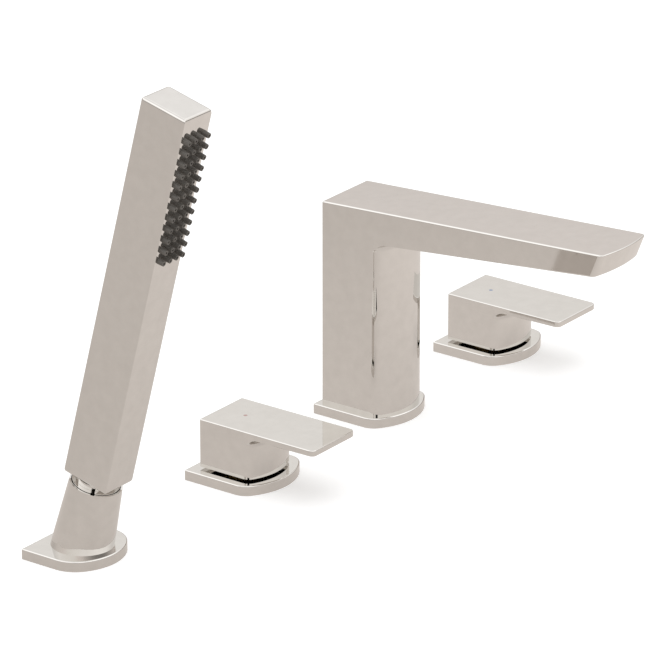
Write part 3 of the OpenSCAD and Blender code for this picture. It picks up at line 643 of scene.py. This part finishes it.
spout_low, spout_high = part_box("spout_body")
spout_w = spout_high.x - spout_low.x
reach = -spout_low.y
spout_back = spout_high.y
tip_height = spout_high.z
under_rise = ARM_RISE + (ARM_ROOT_T - ARM_TIP_T) / (reach - COLUMN_FRONT - NOSE_SLANT)


def arm_top(y):
    return tip_height - (y + reach) * ARM_RISE


def arm_under(y):
    return arm_top(-COLUMN_FRONT) - ARM_ROOT_T - (y + COLUMN_FRONT) * under_rise


print("arm rises", round(ARM_RISE * reach / MM, 1), "mm over its reach")

# %% [markdown]
# ## The spout's casting
# The nose has two small corners and a nearly flat front, and it slants back under its tip. Its upper
# outline is the rounded front laid on the top plane. Its lower one is the same outline followed down the
# slant until it meets the underside. With the rows of the fillet, these two outlines make the casting.

# %% Spout casting
slant = NOSE_SLANT / ARM_TIP_T
tilt = math.sqrt(1 + slant * slant)
nose_high, nose_low = [], []
for x, y in rounded_front(spout_w, reach, NOSE_CORNER_R, NOSE_FRONT_R):
    y_tip = -reach + (y + reach) * tilt
    drop = (arm_top(y_tip) - arm_under(y_tip)) / (1 - slant * under_rise)
    nose_high.append((x, y_tip, arm_top(y_tip)))
    nose_low.append((x, y_tip + drop * slant, arm_top(y_tip) - drop))
spout_rows = flared_rows(spout_w, COLUMN_FRONT, COLUMN_CORNER_R, COLUMN_FRONT_R, SPOUT_FILLET, arm_under)
spout = flared_casting("spout_casting", spout_low.z, spout_back, spout_rows, nose_low, nose_high,
                       arm_top(spout_back))
print("nose has", len(nose_high), "points on each outline")

# %% [markdown]
# ## Inside the spout
# The column is a shell of even wall, closed by a thick roof that the riser screws into, so its hollow is
# the same outline drawn smaller. The flow insert sits in a round recess that is square to the sloping
# underside, and the recess takes its size and place from the insert's own solid.

# %% Hollow column and outlet
roof_z = arm_top(spout_back) - COLUMN_ROOF
hollow = rounded_front(spout_w - 2 * COLUMN_WALL, COLUMN_FRONT - COLUMN_WALL,
                       COLUMN_CORNER_R - COLUMN_WALL, COLUMN_FRONT_R - COLUMN_WALL)
inside = spout_w / 2 - COLUMN_WALL
hollow = [(-inside, spout_back - COLUMN_WALL)] + hollow + [(inside, spout_back - COLUMN_WALL)]
hollow_low = [(x, y, spout_low.z - BEYOND) for x, y in hollow]
hollow_high = [(x, y, roof_z) for x, y in hollow]
hollow_faces = strip(hollow_low, hollow_high, closed=True) + [hollow_low, hollow_high]
carve(spout, joined("hollow", hollow_faces, rounded=False))

insert_low, insert_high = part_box("spout_insert_shell")
insert_r = (insert_high.x - insert_low.x) / 2
lean_back = -math.atan(under_rise)
outlet_y = insert_low.y + insert_r * math.cos(lean_back)
outlet = Matrix.Translation((0, outlet_y, arm_under(outlet_y))) @ Matrix.Rotation(lean_back, 4, "X")
carve(spout, drum("insert_recess", outlet, insert_r, -2 * BEYOND, INSERT_RECESS))
finish_casting(spout, "spout_body", SPOUT_EDGE)
print("outlet lies", round(-outlet_y / MM, 1), "mm in front of the column's axis")

# %% [markdown]
# ## Handset
# The handset is a square bar. Its long edges are rounded by more than a millimetre, enough to feel soft
# in the hand, and its spray face has a shallow recess for the spray plate. It is built upright and then
# leaned with the matrix of the holder, which comes from the direction of its lift.

# %% Handset bar
BAR_EDGE = 1.7 * MM
rise = Vector(joint["handset_lift"]["axis"])
leaning = Matrix.Translation(holder_foot) @ Matrix.Rotation(math.atan2(-rise.y, rise.z), 4, "X")


def upright_box(node):
    """Lowest and highest corners of a leaning node, measured along the holder's own axes."""
    upright = leaning.inverted()
    points = [upright @ corner.co for corner in nodes[node].data.vertices]
    return [Vector(pick(p[i] for p in points) for i in range(3)) for pick in (min, max)]


def block(name, low, high, rounded=True):
    """A box between two corners, leaned with the holder."""
    ring = [(low.x, low.y), (high.x, low.y), (high.x, high.y), (low.x, high.y)]
    foot = [leaning @ Vector((x, y, low.z)) for x, y in ring]
    top = [leaning @ Vector((x, y, high.z)) for x, y in ring]
    return joined(name, strip(foot, top, closed=True) + [foot, top], rounded)


bar_low, bar_high = upright_box("handset_bar")
sheet_back = upright_box("handset_nozzles")[1].y
plate_low, plate_high = upright_box("handset_spray_plate")
bar = block("handset_casting", bar_low, bar_high)
recess_low = Vector((plate_low.x, bar_low.y - BEYOND, plate_low.z))
recess_high = Vector((plate_high.x, sheet_back, plate_high.z))
carve(bar, block("recess", recess_low, recess_high, rounded=False))
finish_casting(bar, "handset_bar", BAR_EDGE)
print("bar is", [round(v / MM, 1) for v in bar_high - bar_low], "mm")

# %% [markdown]
# ## The studio
# A mirror shows its surroundings, so the studio is part of the finish. It has a pale floor, white air
# with soft bands, one wide lamp and one thin dark card. The floor is a single wide sheet at the height
# of the plates' feet, a hair lower so that the two never share a plane.

# %% Floor
FLOOR_HALF = 14.0
FLOOR_BELOW = 0.05 * MM

floor_mesh = bpy.data.meshes.new("floor")
floor_mesh.from_pydata(
    [(x * FLOOR_HALF, y * FLOOR_HALF, -FLOOR_BELOW) for x, y in ((-1, -1), (1, -1), (1, 1), (-1, 1))],
    [], [(0, 1, 2, 3)])
floor = bpy.data.objects.new("floor", floor_mesh)
bpy.context.scene.collection.objects.link(floor)
print("floor is", 2 * FLOOR_HALF, "m wide")

# %% [markdown]
# ## The floor's finish
# An upright chrome face mirrors the floor, so the floor decides how grey the whole object looks. It is
# white paper to the camera, and a soft warm grey in reflections that gets darker towards the rear left,
# which parts the two sides of a block. A Light Path node tells the two kinds of ray apart. The camera
# still sees the object's faint shadow on the paper.

# %% Floor finish
FLOOR_SEEN = (0.86, 0.86, 0.86)
FLOOR_SEEN_GLOW = (0.34, 0.34, 0.34)
PAPER_DARK = (0.235, 0.210, 0.190)
PAPER_LIGHT = (0.245, 0.220, 0.200)
PAPER_GRAINS = 3
GLOW_REAR_LEFT = (0.43, 0.405, 0.385)
GLOW_FRONT_RIGHT = (0.60, 0.565, 0.540)
GLOW_FROM = -0.45
GLOW_TO = 0.35
MATT = 0.9
MIX_FIRST = 6
MIX_SECOND = 7
MIX_RESULT = 2

floor_finish, floor_shader = new_finish("pale_floor")
floor_shader.inputs["Roughness"].default_value = MATT
floor_shader.inputs["Specular IOR Level"].default_value = 0.0
path = add(floor_finish, "ShaderNodeLightPath")


def for_camera(material, seen, mirrored):
    """A colour for the camera's own rays and another one for every other ray."""
    mix = add(material, "ShaderNodeMix")
    mix.data_type = "RGBA"
    join(material, path.outputs["Is Camera Ray"], mix.inputs["Factor"])
    mix.inputs[MIX_SECOND].default_value = (*seen, 1)
    join(material, mirrored, mix.inputs[MIX_FIRST])
    return mix.outputs[MIX_RESULT]


paper = tint(floor_finish, grain(floor_finish, PAPER_GRAINS, detail=2), PAPER_DARK, PAPER_LIGHT)
join(floor_finish, for_camera(floor_finish, FLOOR_SEEN, paper), floor_shader.inputs["Base Color"])
place_on_floor = add(floor_finish, "ShaderNodeTexCoord")
across = add(floor_finish, "ShaderNodeVectorMath")
across.operation = "DOT_PRODUCT"
across.inputs[1].default_value = (1, -1, 0)
join(floor_finish, place_on_floor.outputs["Object"], across.inputs[0])
from_left = ramp(floor_finish, across.outputs["Value"], 0, 1, GLOW_FROM, GLOW_TO)
glow = tint(floor_finish, from_left, GLOW_REAR_LEFT, GLOW_FRONT_RIGHT, 0.0, 1.0)
join(floor_finish, for_camera(floor_finish, FLOOR_SEEN_GLOW, glow), floor_shader.inputs["Emission Color"])
floor_shader.inputs["Emission Strength"].default_value = 1.0
floor.data.materials.append(floor_finish)
print("floor glows with", GLOW_REAR_LEFT, "to", GLOW_FRONT_RIGHT, "in reflections")

# %% [markdown]
# ## White surroundings
# The camera sees plain white air. Reflections see something else: air that is dim at the horizon,
# brightest about halfway up and calmer overhead. A flat face mirrors one height and looks even, while a
# rounded edge sweeps through all of them, and this draws its fine bright and dark lines. A colour ramp
# over the direction's height holds the bands, each written as its elevation in degrees and its colour.

# %% Bands of air
BRIGHTEST = 1.4
FIRST_STOPS = 2
SKY = (
    (-3, (0.22, 0.21, 0.20)),
    (7, (0.25, 0.24, 0.23)),
    (14, (0.72, 0.68, 0.65)),
    (18, (0.84, 0.79, 0.76)),
    (21.7, (0.93, 0.91, 0.88)),
    (36, (1.07, 1.06, 1.05)),
    (48, (1.36, 1.36, 1.35)),
    (60, (1.05, 1.04, 1.03)),
    (78, (0.86, 0.85, 0.84)),
)
world = bpy.data.worlds.new("white_air")
bpy.context.scene.world = world
world.use_nodes = True
air = world.node_tree
direction = air.nodes.new("ShaderNodeTexCoord")
parts = air.nodes.new("ShaderNodeSeparateXYZ")
bands = air.nodes.new("ShaderNodeValToRGB")
for i, (angle, band) in enumerate(SKY):
    rank = (math.sin(math.radians(angle)) + 1) / 2
    stop = bands.color_ramp.elements[i] if i < FIRST_STOPS else bands.color_ramp.elements.new(rank)
    stop.position = rank
    stop.color = (*(c / BRIGHTEST for c in band), 1)
height = air.nodes.new("ShaderNodeMapRange")
height.inputs["From Min"].default_value = -1
air.links.new(direction.outputs["Generated"], parts.inputs["Vector"])
air.links.new(parts.outputs["Z"], height.inputs["Value"])
air.links.new(height.outputs["Result"], bands.inputs["Fac"])
print("air has", len(SKY), "bands in reflections")

# %% [markdown]
# ## Who sees the bands
# A colour ramp can't hold more than white, so a gain brings the bands to their real brightness, a little
# stronger on the camera's side. A mix by the kind of ray then shows them to reflections alone. Diffuse
# light gets a weaker air, so that pale surfaces don't clip.

# %% Air for the camera, for mirrors and for light
AIR_FOR_LIGHT = 0.80
NEAR_GAIN = 1.22
GAIN_FROM = -0.6
GAIN_TO = -0.2
background = air.nodes["Background"]
rays = air.nodes.new("ShaderNodeLightPath")
mirrored = air.nodes.new("ShaderNodeVectorMath")
mirrored.operation = "SCALE"
facing = air.nodes.new("ShaderNodeVectorMath")
facing.operation = "DOT_PRODUCT"
facing.inputs[1].default_value = (math.sin(AZIMUTH), -math.cos(AZIMUTH), 0)
gain = air.nodes.new("ShaderNodeMapRange")
gain.inputs["From Min"].default_value = GAIN_FROM
gain.inputs["From Max"].default_value = GAIN_TO
gain.inputs["To Min"].default_value = BRIGHTEST
gain.inputs["To Max"].default_value = BRIGHTEST * NEAR_GAIN
air.links.new(direction.outputs["Generated"], facing.inputs[0])
air.links.new(facing.outputs["Value"], gain.inputs["Value"])
air.links.new(gain.outputs["Result"], mirrored.inputs["Scale"])
air.links.new(bands.outputs["Color"], mirrored.inputs[0])
choice = air.nodes.new("ShaderNodeMix")
choice.data_type = "RGBA"
choice.inputs[MIX_FIRST].default_value = (1, 1, 1, 1)
air.links.new(rays.outputs["Is Glossy Ray"], choice.inputs["Factor"])
air.links.new(mirrored.outputs["Vector"], choice.inputs[MIX_SECOND])
air.links.new(choice.outputs[MIX_RESULT], background.inputs["Color"])
level = air.nodes.new("ShaderNodeMapRange")
level.inputs["To Min"].default_value = 1.0
level.inputs["To Max"].default_value = AIR_FOR_LIGHT
air.links.new(rays.outputs["Is Diffuse Ray"], level.inputs["Value"])
air.links.new(level.outputs["Result"], background.inputs["Strength"])
print("air is white for the camera, and diffuse light gets", AIR_FOR_LIGHT, "of it")

# %% [markdown]
# ## Soft overhead lamp
# One wide lamp above gives the floor its faint, soft shadow and lifts the nozzles, which don't mirror.
# Chrome would show it as a hard white patch, so reflections don't see it.

# %% Soft overhead lamp
LAMP_SIZE = (2.2, 1.6)
LAMP_POWER = 11
LAMP_PLACE = (-0.3, -0.1, 1.9)
lamp_data = bpy.data.lights.new("overhead_lamp", "AREA")
lamp_data.shape = "RECTANGLE"
lamp_data.size, lamp_data.size_y = LAMP_SIZE
lamp_data.energy = LAMP_POWER
lamp = bpy.data.objects.new("overhead_lamp", lamp_data)
lamp.location = LAMP_PLACE
lamp.visible_glossy = False
bpy.context.scene.collection.objects.link(lamp)
print("lamp hangs at", lamp.location.z, "m")

# %% [markdown]
# ## A dark flag
# Studios place black cards round polished metal, because a mirror in white air has no contours. Here one
# thin card on the camera's side gives the chrome a few darker accents. It is kept small, since a wide one
# would blacken whole faces when the object is seen from another side. Only reflections see it.

# %% Dark flag seen only in reflections
FLAG_ANGLE = math.radians(-62)
FLAG_DISTANCE = 1.6
FLAG_HALF = 0.28
FLAG_LOW = 0.55
FLAG_HIGH = 0.73
CARD_DARK = (0.006, 0.006, 0.005)
CARD_LIGHT = (0.012, 0.011, 0.010)
CARD_GRAINS = 400
out_to_flag = Vector((math.sin(FLAG_ANGLE), -math.cos(FLAG_ANGLE), 0)) * FLAG_DISTANCE
along_flag = Vector((math.cos(FLAG_ANGLE), math.sin(FLAG_ANGLE), 0)) * FLAG_HALF
flag_ends = (out_to_flag - along_flag, out_to_flag + along_flag)
flag_mesh = bpy.data.meshes.new("dark_flag")
flag_points = [(end.x, end.y, FLAG_LOW) for end in flag_ends]
flag_points += [(end.x, end.y, FLAG_HIGH) for end in reversed(flag_ends)]
flag_mesh.from_pydata(flag_points, [], [(0, 1, 2, 3)])
flag = bpy.data.objects.new("dark_flag", flag_mesh)
bpy.context.scene.collection.objects.link(flag)
flag_finish, flag_shader = new_finish("black_card")
flag_shader.inputs["Roughness"].default_value = MATT
flag_shader.inputs["Specular IOR Level"].default_value = 0.0
card = tint(flag_finish, grain(flag_finish, CARD_GRAINS), CARD_DARK, CARD_LIGHT)
join(flag_finish, card, flag_shader.inputs["Base Color"])
flag_mesh.materials.append(flag_finish)
flag.visible_camera = False
flag.visible_diffuse = False
flag.visible_shadow = False
print("a dark flag stands", FLAG_DISTANCE, "m away")

# %% [markdown]
# ## The view transform
# Colours are shown as they are written, through the standard view transform. The
# finished meshes must lie inside the box of the solids.

# %% Standard view transform
bpy.context.scene.view_settings.view_transform = "Standard"
